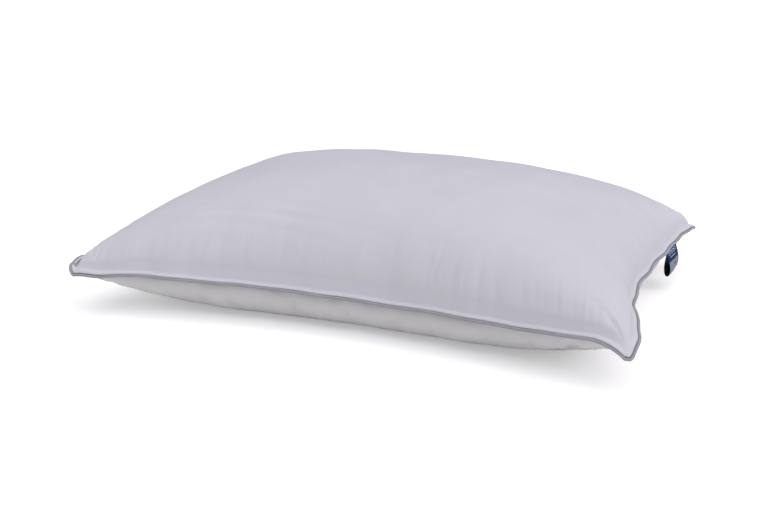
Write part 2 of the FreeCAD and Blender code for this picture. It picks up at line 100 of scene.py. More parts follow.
# bends of the seam: side, place along it, half width, inward, upward, slope of the flange
seamBends = (
    ("right", -0.25, 0.60, 0.0015, 0.0, 0.0),
    ("right", -0.92, 0.07, -0.0015, 0.0, 0.0),
    ("right", -0.74, 0.12, -0.0008, 0.0, 0.0),
    ("right", -0.49, 0.08, 0.0031, -0.001, -0.1),
    ("right", 0.06, 0.14, -0.0058, 0.0, 0.0),
    ("right", 0.38, 0.16, -0.0050, 0.0, 0.0),
    ("front", -0.92, 0.08, 0.0, -0.0045, -0.2),
    ("front", 0.20, 0.50, 0.0, -0.0063, 0.0),
    ("front", -0.50, 0.42, 0.0, -0.0026, 0.0),
    ("front", 0.56, 0.12, 0.0, -0.0012, 0.0),
    ("front", 0.90, 0.08, 0.0, 0.0030, 0.0),
    ("right", 0.80, 0.08, 0.0030, 0.0, -0.2),
    ("front", -0.74, 0.05, 0.0012, 0.0, 0.1),
    ("left", -0.94, 0.08, 0.0, 0.0045, 0.5),
    ("left", 0.25, 0.15, 0.0025, 0.001, 0.0),
    ("left", -0.45, 0.12, -0.0020, 0.0, 0.0),
    ("back", -0.35, 0.12, 0.0025, 0.001, 0.0),
    ("back", 0.40, 0.14, -0.0015, -0.001, 0.0),
)
seamWander = (0.0009, 0.0007, 0.10)      # small random bends on top of those
cornerSigns = ((-1, -1), (1, -1), (1, 1), (-1, 1))
footZ = seamZ - shell["tilt"] * shell["pipingOut"]    # the crown's foot, so that the piping is level


def spread(count, edge=0.62):
    # positions from -1 to 1, closer together near the ends: a mix of a line and a sine
    line = np.linspace(-1, 1, count)
    return (1 - edge) * line + edge * np.sin(line * math.pi / 2)


def wander(t, seed, waves, slow, fast):
    # smooth random line: a mean of sines with random rates and phases
    local = np.random.default_rng(seed)
    rates = local.uniform(slow, fast, waves)
    phases = local.uniform(0, 2 * math.pi, waves)
    return sum(np.sin(rate * t * math.pi + phase) for rate, phase in zip(rates, phases)) / waves


def sideWeights(u, v):
    # for each side: nearness to it, 1 on it and 0 halfway in, and the place along it
    return dict(
        front=(np.clip(-v, 0, 1), u),
        right=(np.clip(u, 0, 1), v),
        back=(np.clip(v, 0, 1), u),
        left=(np.clip(-u, 0, 1), v),
    )


def seamBend(u, v, part):
    # sum of bell curves along the sides, fading with the fourth power of nearness inwards,
    # and to nothing at the corners; part 0 is the shift inwards, 1 the rise, 2 the slope
    total = dict(front=0.0, right=0.0, back=0.0, left=0.0)
    for number, (side, (near, along)) in enumerate(sideWeights(u, v).items()):
        ends = np.clip(1 - along**20, 0, 1)
        shift = seamWander[part] * wander(along, 60 + number + 10 * part, 6, 3.0, 11.0)
        for bend in seamBends:
            if bend[0] == side:
                shift = shift + bend[3 + part] * np.exp(-((along - bend[1]) / bend[2]) ** 2)
        total[side] = shift * ends * near**4
    return total


def cornerWeights(u, v):
    # for each corner: 1 at it and 0 at the sides away from it
    return [
        np.clip((1 + su * u) / 2, 0, 1) * np.clip((1 + sv * v) / 2, 0, 1)
        for su, sv in cornerSigns
    ]


def seamRise(u, v):
    # height of the stitch line above the seam plane: each corner lifts or droops on its own
    total = sum(seamBend(u, v, 1).values())
    corners = zip(shell["cornerRise"], shell["tipRise"], cornerWeights(u, v))
    for rise, tip, near in corners:
        total = total + rise * near ** shell["cornerReach"] + tip * near ** shell["tipReach"]
    return total


def plan(u, v):
    # plan position: the stitch line's rectangle, its sides drawn in by draw * (1 - t^2)^bow
    reachX = halfLength - shell["flange"]
    reachY = halfWidth - shell["flange"]
    bend = seamBend(u, v, 0)
    tips = list(zip(shell["tipShift"], cornerWeights(u, v)))
    tipX = sum(shift[0] * near ** shell["tipReach"] for shift, near in tips)
    tipY = sum(shift[1] * near ** shell["tipReach"] for shift, near in tips)
    x = u * (reachX - shell["drawShort"] * np.clip(1 - v**2, 0, 1) ** shell["bow"])
    y = v * (reachY - shell["drawLong"] * np.clip(1 - u**2, 0, 1) ** shell["bow"])
    return x - bend["right"] + bend["left"] + tipX, y - bend["back"] + bend["front"] + tipY


def flatPlace(u, v):
    # the same place on the flat cut, in metres
    return u * shell["flatLength"] / 2, v * shell["flatWidth"] / 2


def crownGrid(u, v, side):
    # side 1 is the upper panel, -1 the lower one: height is a rounded box profile,
    # ((1 - |u|^n) (1 - |v|^n))^p, stopped softly by the floor below
    x, y = plan(u, v)
    rise = seamRise(u, v)
    pairs = zip(shell["crownPinch" if side > 0 else "pinch"], cornerWeights(u, v))
    pinch = 1 - sum(flatter * near ** shell["pinchReach"] for flatter, near in pairs)
    full = (1 - np.abs(u) ** shell["crownFlat"]) * (1 - np.abs(v) ** shell["crownFlat"])
    full = np.clip(full, 0, 1)
    foot = footZ + side * shell["rim"]
    if side > 0:
        z = foot + rise + (loft - foot) * pinch * full ** shell["crownPower"]
    else:
        z = foot + rise - shell["bellyDrop"] * seamZ * pinch * full ** shell["bellyPower"]
        soft = shell["floorSoft"]
        z = np.where(z > soft, z, soft * np.exp(np.clip(z / soft - 1, -8, 0)))
        z = np.where(z < soft * 0.05, 0.0, z)
    return np.stack([x, y, z], -1)


def seamRing():
    # once round the stitch line, with a fan of directions at each corner; every row holds
    # the point, the outward direction in plan, the flange's slope and the flat-cut point
    uLine, vLine = spread(shell["columns"]), spread(shell["rows"])
    sides = (
        (uLine, -np.ones_like(uLine)),
        (np.ones_like(vLine), vLine),
        (uLine[::-1], np.ones_like(uLine)),
        (-np.ones_like(vLine), vLine[::-1]),
    )
    points, normals, places = [], [], []
    for u, v in sides:
        x, y = plan(u, v)
        along = np.stack([np.gradient(x), np.gradient(y)], -1)
        along /= np.linalg.norm(along, axis=1, keepdims=True)
        points.append(np.stack([x, y, footZ + seamRise(u, v)], -1))
        normals.append(np.stack([along[:, 1], -along[:, 0]], -1))
        places.append(np.stack([u, v], -1))
    fan = shell["cornerFan"]
    allPoints, allNormals, allPlaces, allTurns = [], [], [], []
    for number in range(4):
        follow = (number + 1) % 4
        allPoints += [points[number], np.repeat(points[number][-1:], fan, 0)]
        first, last = normals[number][-1], normals[follow][0]
        share = np.linspace(0, 1, fan + 2)[1:-1, None]
        turn = math.acos(np.clip(first @ last, -1, 1))
        sweep = (np.sin((1 - share) * turn) * first + np.sin(share * turn) * last) / math.sin(turn)
        # out to a rounded square: (cos^p + sin^p)^(-1/p) of the direction, p the corner's own
        power = shell["cornerSquare"][follow]
        bend = share * math.pi / 2
        reach = (np.cos(bend) ** power + np.sin(bend) ** power) ** (-1 / power)
        allNormals += [normals[number], sweep * reach]
        allPlaces += [places[number], np.repeat(places[number][-1:], fan, 0)]
        # from -1 just after a corner to 1 just before the next, and back again round it
        halfway = np.tanh(np.linspace(-3, 3, len(points[number])))
        allTurns += [halfway, np.cos(share[:, 0] * math.pi)]
    point, normal = np.concatenate(allPoints), np.concatenate(allNormals)
    place = np.concatenate(allPlaces)
    u, v = place.T
    ears = zip(shell["earSlope"], cornerWeights(u, v))
    slope = shell["tilt"] + sum(more * near ** shell["tipReach"] for more, near in ears)
    twists = zip(shell["earTwist"], cornerWeights(u, v))
    turned = np.concatenate(allTurns)
    slope = slope + turned * sum(twist * near ** shell["twistReach"] for twist, near in twists)
    slope = slope + sum(seamBend(u, v, 2).values())
    flat = place * np.array([shell["flatLength"] / 2, shell["flatWidth"] / 2])
    return dict(point=point, normal=normal, slope=slope, flat=flat)


def ringAt(ring, offset):
    # the stitch line carried outwards along the flange's slope
    line = ring["point"].copy()
    line[:, :2] += ring["normal"] * offset
    line[:, 2] += ring["slope"] * offset
    return line


def distances(line):
    # how far along the line each of its points is
    steps = np.linalg.norm(np.diff(line, axis=0), axis=1)
    return np.concatenate([[0], np.cumsum(steps)])


def evenRing(ring, offset, pitch, perPitch):
    # the same at even steps along its length, a whole number of pitches in the loop
    line = ringAt(ring, offset)
    closed = np.concatenate([line, line[:1]])
    along = distances(closed)
    pitches = max(1, round(along[-1] / pitch))
    at = np.linspace(0, along[-1], pitches * perPitch + 1)
    columns = np.concatenate([closed, np.concatenate([ring["normal"], ring["normal"][:1]])], 1)
    picked = np.stack([np.interp(at, along, column) for column in columns.T], -1)
    normal = picked[:, 3:5] / np.linalg.norm(picked[:, 3:5], axis=1, keepdims=True)
    return picked[:, :3], normal, at


# Small forms: noise, puckers and creases, each a height along the surface's normal.


def knotNoise(s, seed, spacing):
    # random values at even knots, joined by smooth steps
    local = np.random.default_rng(seed)
    values = local.uniform(-1, 1, 4096)
    whole = np.floor(s / spacing).astype(int)
    part = s / spacing - whole
    part = part * part * (3 - 2 * part)
    return values[whole % 4096] * (1 - part) + values[(whole + 1) % 4096] * part


def lumps(x, y, seed, size, waves=14):
    # soft lumps: a mean of plane waves in random directions, about one size apart
    local = np.random.default_rng(seed)
    total = 0
    for angle, phase, scale in zip(
        local.uniform(0, math.pi, waves),
        local.uniform(0, 2 * math.pi, waves),
        local.uniform(0.7, 1.5, waves),
    ):
        rate = 2 * math.pi / (size * scale)
        total = total + np.sin(rate * (x * math.cos(angle) + y * math.sin(angle)) + phase)
    return total / math.sqrt(waves)


puckers = dict(
    spacing=0.0047,  # half a fold along the seam
    spacingBelow=0.0072,
    height=0.00085,
    heightBelow=0.0034,
    reach=0.016,
    reachMore=0.026,  # the longest folds reach this much further in
    lean=0.35,
    uneven=0.012,  # how far the folds' spacing wanders
    start=0.003,  # no height at the stitches, full height this far in
    creaseHeight=0.0036,
    creaseReach=0.023,
    lumpHeight=0.0006,
    lumpSize=0.085,
    ridgeHeight=0.0007,
    ridgeSpacing=0.019,
    ridgeInset=0.055,
    floorGap=0.001,  # below this height the lower face is smooth
    floorFade=0.014,
)


def smallForms(u, v, side):
    # folds across each seam, of varying height, with wider ones under them, fading inwards as
    # exp(-(inset / reach)^1.5); creases fanning from the corners; soft lumps in the middle
    p = puckers
    x, y = flatPlace(u, v)
    insets = (
        (y + shell["flatWidth"] / 2, x),
        (shell["flatLength"] / 2 - x, y),
        (shell["flatWidth"] / 2 - y, x),
        (x + shell["flatLength"] / 2, y),
    )
    height = p["height"] if side > 0 else p["heightBelow"]
    spacing = p["spacing"] if side > 0 else p["spacingBelow"]
    total = np.zeros_like(x)
    for number, (inset, along) in enumerate(insets):
        seed = 100 + 10 * number + (0 if side > 0 else 5)
        lean = p["lean"] * knotNoise(along + 1, seed + 1, 0.05)
        place = along + p["uneven"] * knotNoise(along + 4, seed + 6, 0.045)
        fold = knotNoise(place + lean * inset + 1, seed + 2, spacing)
        fold = fold * (0.65 + 0.6 * knotNoise(along + 6, seed + 7, 0.03))
        fold = fold + 0.7 * knotNoise(along - 0.6 * lean * inset + 2, seed + 3, 2.3 * spacing)
        longer = (0.5 + 0.5 * knotNoise(along + 3, seed + 4, 0.021)) ** 2
        reach = p["reach"] + p["reachMore"] * longer
        fade = (1 - np.exp(-inset / p["start"])) * np.exp(-((inset / reach) ** 1.5))
        total = total + height * fold * fade
    for number, (su, sv) in enumerate(cornerSigns):
        fromX = shell["flatLength"] / 2 - su * x
        fromY = shell["flatWidth"] / 2 - sv * y
        far = np.hypot(fromX, fromY)
        turn = np.arctan2(fromY, fromX + 1e-9)
        wave = np.cos(7 * turn + 0.8 * number + 8 * far) + 0.6 * np.cos(12 * turn - 14 * far)
        swell = (far / p["creaseReach"]) * np.exp(1 - far / p["creaseReach"])
        total = total + p["creaseHeight"] * wave * swell**2 * np.sin(2 * turn) ** 2 * 0.5
    middle = np.clip(1 - u**6, 0, 1) * np.clip(1 - v**6, 0, 1)
    total = total + p["lumpHeight"] * lumps(x, y, 7 + side, p["lumpSize"]) * middle
    if side > 0:
        inset = y + shell["flatWidth"] / 2 + 0.02 * (u + 0.5)
        band = np.exp(-(((inset - p["ridgeInset"]) / 0.024) ** 2)) * np.exp(-(((u + 0.45) / 0.42) ** 2))
        phase = 2 * math.pi * inset / p["ridgeSpacing"] + 1.5 * knotNoise(x + 5, 61, 0.09)
        total = total + p["ridgeHeight"] * np.sin(phase) * band
    return total


def edgeMask(shape):
    # true round the rim of a grid
    edge = np.ones(shape, bool)
    edge[1:-1, 1:-1] = False
    return edge


def gridNormals(points, side):
    # cross product of the two directions of the grid, pointing out of the pillow
    along = np.gradient(points, axis=0)
    across = np.gradient(points, axis=1)
    normal = np.cross(along, across)
    normal /= np.maximum(np.linalg.norm(normal, axis=2, keepdims=True), 1e-12)
    return normal * side


# Mesh helpers.


def gridFaces(rows, columns, flip=False):
    # quads of a grid whose points run row by row
    index = np.arange(rows * columns).reshape(rows, columns)
    quads = [index[:-1, :-1], index[1:, :-1], index[1:, 1:], index[:-1, 1:]]
    faces = np.stack(quads, -1).reshape(-1, 4)
    return faces[:, ::-1] if flip else faces


def joinParts(parts):
    # several (points, faces, uv) as one
    points, faces, uvs, start = [], [], [], 0
    for part in parts:
        points.append(part[0].reshape(-1, 3))
        faces.append(part[1] + start)
        uvs.append(part[2].reshape(-1, 2))
        start += len(points[-1])
    return np.concatenate(points), np.concatenate(faces), np.concatenate(uvs)


def addObject(name, data):
    made = bpy.data.objects.new(name, data)
    bpy.context.scene.collection.objects.link(made)
    return made


def addPiece(name, points, faces, uv, weld=2e-6, closed=False):
    # a smooth mesh piece with its own UV map; doubled points are merged
    mesh = bpy.data.meshes.new(name)
    mesh.from_pydata(points.tolist(), [], faces.tolist())
    layer = mesh.uv_layers.new(name="cloth")
    corner = np.empty(len(mesh.loops), np.int32)
    mesh.loops.foreach_get("vertex_index", corner)
    layer.data.foreach_set("uv", uv[corner].astype(np.float32).ravel())
    work = bmesh.new()
    work.from_mesh(mesh)
    bmesh.ops.remove_doubles(work, verts=work.verts, dist=weld)
    if closed:
        bmesh.ops.recalc_face_normals(work, faces=work.faces)
    work.to_mesh(mesh)
    work.free()
    mesh.polygons.foreach_set("use_smooth", np.ones(len(mesh.polygons), bool))
    mesh.update()
    piece = addObject(name, mesh)
    print("made", name, len(mesh.polygons), "faces")
    return piece


def dress(piece, material, slotName, *nodes):
    # the piece's finish, its record slot, which is not used, the CAD nodes that it stands for
    piece.data.materials.append(material)
    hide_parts(*nodes)


def sweepRing(centre, normal, out, up, along, around):
    # a section carried round a closed line; out and up are the section's rows of distances
    out, up = np.broadcast_arrays(np.atleast_2d(out), np.atleast_2d(up))
    points = np.repeat(centre[:, None, :], out.shape[1], 1)
    points[..., :2] += normal[:, None, :] * out[..., None]
    points[..., 2] += up
    uv = np.stack(np.broadcast_arrays(along[:, None], np.atleast_2d(around)), -1)
    return points, gridFaces(len(centre), out.shape[1]), uv


def addRod(name, centre, normal, radius, along, turn, around):
    # a round section carried along a line; the radius holds a row for each point
    section = -radius * np.cos(turn), radius * np.sin(turn)
    points, faces, uv = sweepRing(centre, normal, *section, along, around)
    return addPiece(name, *joinParts([(points, faces[:, ::-1], uv)]))


# The filling's pressure on the cloth: a coarse closed shell, sewn from the flat cut, is
# blown up inside its own outline so that the spare cloth buckles by the seams.

cloth = dict(
    columns=124,
    rows=88,
    frames=26,
    keepCells=7.0,  # forms wider than this many cells keep their given shape
    cap=0.0045,  # the most that a point moves
    settings=dict(
        quality=6,
        mass=0.18,
        tension_stiffness=22.0,
        compression_stiffness=22.0,
        shear_stiffness=5.5,
        bending_stiffness=0.04,
        tension_damping=8,
        compression_damping=8,
        shear_damping=8,
        bending_damping=0.5,
        air_damping=4,
        vertex_group_mass="seam",
        use_pressure=True,
        uniform_pressure_force=9.0,
    ),
)


def blurRows(values, cells):
    # weighted mean along the first axis, with a bell of that many cells
    place = np.arange(values.shape[0])
    weight = np.exp(-(((place[:, None] - place[None, :]) / cells) ** 2))
    weight /= weight.sum(1, keepdims=True)
    return np.einsum("ij,jkl->ikl", weight, values)


def blurGrid(values, cells):
    return blurRows(blurRows(values, cells).transpose(1, 0, 2), cells).transpose(1, 0, 2)


def splineWeights(at, knots):
    # Catmull-Rom weights of even knots from -1 to 1 for each wanted place
    step = (at + 1) / 2 * (knots - 1)
    low = np.clip(np.floor(step).astype(int), 0, knots - 2)
    t = step - low
    shares = (
        (-t + 2 * t**2 - t**3) / 2,
        (2 - 5 * t**2 + 3 * t**3) / 2,
        (t + 4 * t**2 - 3 * t**3) / 2,
        (-(t**2) + t**3) / 2,
    )
    weights = np.zeros((len(at), knots))
    for shift, share in zip((-1, 0, 1, 2), shares):
        np.add.at(weights, (np.arange(len(at)), np.clip(low + shift, 0, knots - 1)), share)
    return weights


def blowUp():
    # runs Blender's cloth on the coarse shell; gives both panels' fine movement as grids
    c = cloth
    uLine, vLine = np.linspace(-1, 1, c["columns"]), np.linspace(-1, 1, c["rows"])
    u, v = np.meshgrid(uLine, vLine, indexing="ij")
    count = u.size
    edge = edgeMask(u.shape)
    upper = crownGrid(u, v, 1).reshape(-1, 3)
    lower = crownGrid(u, v, -1).reshape(-1, 3)
    upper[edge.ravel()] = (upper + lower)[edge.ravel()] / 2
    inner = np.flatnonzero(~edge.ravel())
    below = np.arange(count)
    below[inner] = count + np.arange(len(inner))
    points = np.concatenate([upper, lower[inner]])
    quads = gridFaces(*u.shape)
    faces = np.concatenate([quads, below[quads][:, ::-1]])
    flat = np.stack([*flatPlace(u, v), u * 0], -1).reshape(-1, 3)
    rest = np.concatenate([flat, flat[inner]])
    mesh = bpy.data.meshes.new("blownShell")
    mesh.from_pydata(points.tolist(), [], faces.tolist())
    body = addObject("blownShell", mesh)
    body.shape_key_add(name="asFilled")
    cut = body.shape_key_add(name="flatCut")
    cut.data.foreach_set("co", rest.ravel())
    cut.value = 0.0
    pins = body.vertex_groups.new(name="seam")
    pins.add(np.flatnonzero(edge.ravel()).tolist(), 1.0, "REPLACE")
    cloths = body.modifiers.new("cloth", "CLOTH")
    how = cloths.settings
    for name, value in c["settings"].items():
        setattr(how, name, value)
    how.rest_shape_key = cut
    how.effector_weights.gravity = 0
    cloths.collision_settings.use_collision = False
    cloths.collision_settings.use_self_collision = False
    cloths.point_cache.frame_start = 1
    cloths.point_cache.frame_end = c["frames"]
    for number in range(1, c["frames"] + 1):
        bpy.context.scene.frame_set(number)
    shown = body.evaluated_get(bpy.context.evaluated_depsgraph_get())
    moved = np.empty(len(points) * 3)
    shown.data.vertices.foreach_get("co", moved)
    moved = moved.reshape(-1, 3) - points
    bpy.context.scene.frame_set(1)
    bpy.data.objects.remove(body)
    fine = []
    for rows in (np.arange(count), below):
        grid = moved[rows].reshape(*u.shape, 3)
        grid = grid - blurGrid(grid, c["keepCells"])
        grid[edge] = 0
        size = np.linalg.norm(grid, axis=2, keepdims=True)
        grid = grid * c["cap"] / np.maximum(c["cap"], size)
        print("cloth moved", round(float(size.max()), 4), "mean", round(float(size.mean()), 5))
        fine.append(grid)
    return fine


def fineMove(coarse, uLine, vLine):
    # the coarse movement carried to the fine grid by splines in both directions
    acrossU = splineWeights(uLine, coarse.shape[0])
    acrossV = splineWeights(vLine, coarse.shape[1])
    return np.einsum("ia,abk,jb->ijk", acrossU, coarse, acrossV)


# Materials.  Patterns follow each piece's own map, which is in metres of cloth.


def addNode(tree, kind, inputs=None, **settings):
    # a node whose inputs are plain values or other nodes' outputs
    made = tree.nodes.new("ShaderNode" + kind)
    for name, value in settings.items():
        setattr(made, name, value)
    for name, value in (inputs or {}).items():
        if isinstance(value, bpy.types.NodeSocket):
            tree.links.new(value, made.inputs[name])
        else:
            made.inputs[name].default_value = value
    return made


def noiseNode(tree, place, scale, detail, **more):
    inputs = {"Vector": place, "Scale": scale, "Detail": detail, **more}
    return addNode(tree, "TexNoise", inputs).outputs[0]


def mathNode(tree, operation, first, second=0.0, third=0.0):
    inputs = {0: first, 1: second, 2: third}
    return addNode(tree, "Math", inputs, operation=operation).outputs[0]


def times(tree, first, second):
    return mathNode(tree, "MULTIPLY", first, second)


def newGroup(name, inputs, outputs):
    # an empty shader group: a vector and named numbers come in, named numbers go out
    group = bpy.data.node_groups.new(name, "ShaderNodeTree")
    addSocket = group.interface.new_socket
    addSocket("Vector", in_out="INPUT", socket_type="NodeSocketVector")
    for label, value in inputs.items():
        addSocket(label, in_out="INPUT", socket_type="NodeSocketFloat").default_value = value
    for label in outputs:
        addSocket(label, in_out="OUTPUT", socket_type="NodeSocketFloat")
    given = group.nodes.new("NodeGroupInput").outputs
    return group, given, group.nodes.new("NodeGroupOutput").inputs


def makeWeaveGroup():
    # plain weave: across and along threads show by turns, each a rounded ridge
    group, given, go = newGroup("plainWeave", dict(Threads=3000.0), ("Height", "Slub"))
    rate = times(group, given["Threads"], math.pi)
    inputs = {0: given["Vector"], "Scale": rate}
    scaled = addNode(group, "VectorMath", inputs, operation="SCALE")
    parts = addNode(group, "SeparateXYZ", {0: scaled.outputs[0]})
    across, along = (mathNode(group, "SINE", parts.outputs[axis]) for axis in "XY")
    turn = mathNode(group, "GREATER_THAN", times(group, across, along), 0.0)
    ridgeA = times(group, mathNode(group, "ABSOLUTE", across), turn)
    turnedOff = mathNode(group, "SUBTRACT", 1.0, turn)
    ridgeB = times(group, mathNode(group, "ABSOLUTE", along), turnedOff)
    # thicker threads here and there, long in one direction
    inputs = {"Vector": given["Vector"], "Scale": (14.0, 900.0, 1.0)}
    stretched = addNode(group, "Mapping", inputs).outputs[0]
    group.links.new(mathNode(group, "ADD", ridgeA, ridgeB), go["Height"])
    group.links.new(noiseNode(group, stretched, 1.0, 2.0, Roughness=0.6), go["Slub"])
    return group


def makeMottleGroup():
    # soft uneven tone: two noises, one a hand wide and one a finger wide
    group, given, go = newGroup("softMottle", dict(Size=9.0, Contrast=1.4), ("Mask",))
    wide = noiseNode(group, given["Vector"], given["Size"], 3.0)
    narrowSize = times(group, given["Size"], 7.3)
    narrow = noiseNode(group, given["Vector"], narrowSize, 4.0)
    both = mathNode(group, "MULTIPLY_ADD", narrow, 0.4, wide)
    centred = mathNode(group, "SUBTRACT", both, 0.7)
    spreadOut = mathNode(group, "MULTIPLY_ADD", centred, given["Contrast"], 0.5)
    clamped = addNode(group, "Clamp", {"Value": spreadOut})
    group.links.new(clamped.outputs[0], go["Mask"])
    return group


def makePlyGroup():
    # twisted yarn: slanting ridges along the piece, from its map's length and round places
    group, given, go = newGroup("plyTwist", dict(Turns=400.0, Slant=3.0), ("Height",))
    parts = addNode(group, "SeparateXYZ", {0: given["Vector"]})
    slanted = mathNode(group, "MULTIPLY_ADD", parts.outputs["Y"], given["Slant"], parts.outputs["X"])
    turned = times(group, slanted, given["Turns"])
    wave = mathNode(group, "SINE", times(group, turned, 2 * math.pi))
    group.links.new(mathNode(group, "ABSOLUTE", wave), go["Height"])
    return group


weaveGroup, mottleGroup, plyGroup = makeWeaveGroup(), makeMottleGroup(), makePlyGroup()


def useGroup(tree, group, vector, **values):
    # the outputs of a shared group
    return addNode(tree, "Group", {"Vector": vector, **values}, node_tree=group).outputs


def startMaterial(name, roughness, sheen=0.0, specular=0.3):
    # a Principled material with its map's coordinates; uniform values are set here
    material = bpy.data.materials.new(name)
    material.use_nodes = True
    tree = material.node_tree
    shader = tree.nodes["Principled BSDF"]
    shader.inputs["Roughness"].default_value = roughness
    shader.inputs["Sheen Weight"].default_value = sheen
    shader.inputs["Sheen Roughness"].default_value = 0.45
    shader.inputs["Specular IOR Level"].default_value = specular
    place = addNode(tree, "UVMap", uv_map="cloth").outputs[0]
    return material, tree, shader, place


def mixTones(tree, mask, dark, light):
    # the dark colour where the mask is 0, the light one where it is 1; dark may be a socket
    if not isinstance(dark, bpy.types.NodeSocket):
        dark = (*dark, 1)
    inputs = {0: mask, "A": dark, "B": (*light, 1)}
    return addNode(tree, "Mix", inputs, data_type="RGBA").outputs[2]


def twoTones(tree, shader, mask, dark, light):
    tree.links.new(mixTones(tree, mask, dark, light), shader.inputs["Base Color"])


def rangeRoughness(tree, shader, mask, low, high):
    scaled = addNode(tree, "MapRange", {"Value": mask, "To Min": low, "To Max": high})
    tree.links.new(scaled.outputs[0], shader.inputs["Roughness"])


def addBumps(tree, shader, *layers):
    # bumps one on another, each (height, depth in metres, strength)
    normal = None
    for height, depth, strength in layers:
        inputs = {"Height": height, "Distance": depth, "Strength": strength}
        if normal is not None:
            inputs["Normal"] = normal
        normal = addNode(tree, "Bump", inputs).outputs[0]
    tree.links.new(normal, shader.inputs["Normal"])


cambric = dict(
    dark=(0.666, 0.656, 0.696),
    light=(0.712, 0.703, 0.746),
    # the same cloth made lighter and warmer for the lower panel: painted floor bounce on the shaded
    # underside
    darkBelowPaintedBounce=(0.745, 0.735, 0.735),
    lightBelowPaintedBounce=(0.795, 0.785, 0.785),
    threads=3600.0,  # threads to the metre
    weaveDepth=0.00006,
    slubDepth=0.00008,
    creases=95.0,  # to the metre
    creaseDepth=0.0006,
)


def makeCambric(name, seed, dark, light):
    # closely woven white cotton: weave, slubs, faint mottling and very fine creases; the lower panel's
    # tones are a lighter, warmer copy, a painted floor bounce
    c = cambric
    material, tree, shader, place = startMaterial(name, 0.7, sheen=0.22, specular=0.22)
    weave = useGroup(tree, weaveGroup, place, Threads=c["threads"])
    mottle = useGroup(tree, mottleGroup, place, Size=7.0 + seed, Contrast=1.5)
    slubbed = mathNode(tree, "MULTIPLY_ADD", weave["Slub"], 0.5, mottle["Mask"])
    mask = mathNode(tree, "SUBTRACT", slubbed, 0.25)
    twoTones(tree, shader, mask, dark, light)
    rangeRoughness(tree, shader, mottle["Mask"], 0.62, 0.78)
    crease = noiseNode(tree, place, c["creases"], 3.0, Roughness=0.55, Distortion=0.6)
    addBumps(
        tree,
        shader,
        (crease, c["creaseDepth"], 0.35),
        (weave["Slub"], c["slubDepth"], 0.5),
        (weave["Height"], c["weaveDepth"], 0.5),
    )
    return material


biasStripPaintedShade = dict(
    # mid grey for the dark line under the piping: painted shade
    dark=(0.31, 0.31, 0.332),
    light=(0.41, 0.41, 0.432),
    threads=3400.0,
    weaveDepth=0.00006,
    ripples=150.0,
    rippleDepth=0.00010,
)


def makeBiasStrip():
    # cotton cut on the bias, drawn round the cord, its grey a painted shade for the dark gap under the
    # piping: slanting weave and pulled ripples
    b = biasStripPaintedShade
    material, tree, shader, place = startMaterial("cottonBiasStripPaintedShade", 0.62, sheen=0.25, specular=0.25)
    inputs = {"Vector": place, "Rotation": (0, 0, math.radians(45))}
    turned = addNode(tree, "Mapping", inputs).outputs[0]
    weave = useGroup(tree, weaveGroup, turned, Threads=b["threads"])
    mottle = useGroup(tree, mottleGroup, place, Size=60.0, Contrast=1.6)
    twoTones(tree, shader, mottle["Mask"], b["dark"], b["light"])
    rangeRoughness(tree, shader, mottle["Mask"], 0.55, 0.70)
    ripple = useGroup(tree, plyGroup, place, Turns=b["ripples"], Slant=1.0)["Height"]
    bumps = (ripple, b["rippleDepth"], 0.35), (weave["Height"], b["weaveDepth"], 0.5)
    addBumps(tree, shader, *bumps)
    return material


def makeYarn(name, turns, slant, dark, light, depth, roughness):
    material, tree, shader, place = startMaterial(name, roughness, sheen=0.2)
    ply = useGroup(tree, plyGroup, place, Turns=turns, Slant=slant)
    mottle = useGroup(tree, mottleGroup, place, Size=200.0, Contrast=1.0)
    mask = times(tree, ply["Height"], mottle["Mask"])
    twoTones(tree, shader, mask, dark, light)
    addBumps(tree, shader, (ply["Height"], depth, 0.6))
    return material


down = dict(
    dark=(0.72, 0.70, 0.66),
    light=(0.86, 0.85, 0.82),
    clusters=55.0,  # to the metre
    clusterDepth=0.004,
    fuzz=420.0,
    fuzzDepth=0.0008,
)


def makeDown():
    # clusters of down with fuzz on them, unevenly cream
    material, tree, shader, place = startMaterial("downAndFeather", 0.9, sheen=0.6)
    inputs = {"Vector": place, "Scale": down["clusters"], "Randomness": 1.0}
    cluster = addNode(tree, "TexVoronoi", inputs, feature="SMOOTH_F1").outputs["Distance"]
    fuzz = noiseNode(tree, place, down["fuzz"], 6.0, Distortion=1.5)
    mottle = useGroup(tree, mottleGroup, place, Size=30.0, Contrast=1.3)
    twoTones(tree, shader, mottle["Mask"], down["dark"], down["light"])
    addBumps(tree, shader, (cluster, down["clusterDepth"], 0.8), (fuzz, down["fuzzDepth"], 0.6))
    return material


ribbon = dict(
    navy=(0.003, 0.030, 0.130),
    ice=(0.50, 0.60, 0.66),
    slate=(0.21, 0.25, 0.31),
    mist=(0.33, 0.39, 0.46),
    edge=(0.006, 0.012, 0.045),
    bandDepth=0.0165,  # the navy band, from the hinge down
    waves=((0.0042, 0.0056), (0.0074, 0.0082)),
    waveHalf=0.0165,
    waveRate=620.0,
    waveDepth=0.0008,
    # a bar and a dash: colour, top and foot down the label, left and right across it
    bar=((0.50, 0.60, 0.66), 0.0112, 0.0122, -0.012, 0.010),
    dash=((0.30, 0.09, 0.085), 0.0205, 0.0228, -0.004, 0.006),
    selvedge=0.0208,
    threads=2600.0,
    weaveDepth=0.00012,
    backDark=(0.004, 0.004, 0.005),
    backLight=(0.016, 0.016, 0.020),
)


def between(tree, value, low, high):
    # 1 where the value is from low to high
    above = mathNode(tree, "GREATER_THAN", value, low)
    return times(tree, above, mathNode(tree, "LESS_THAN", value, high))


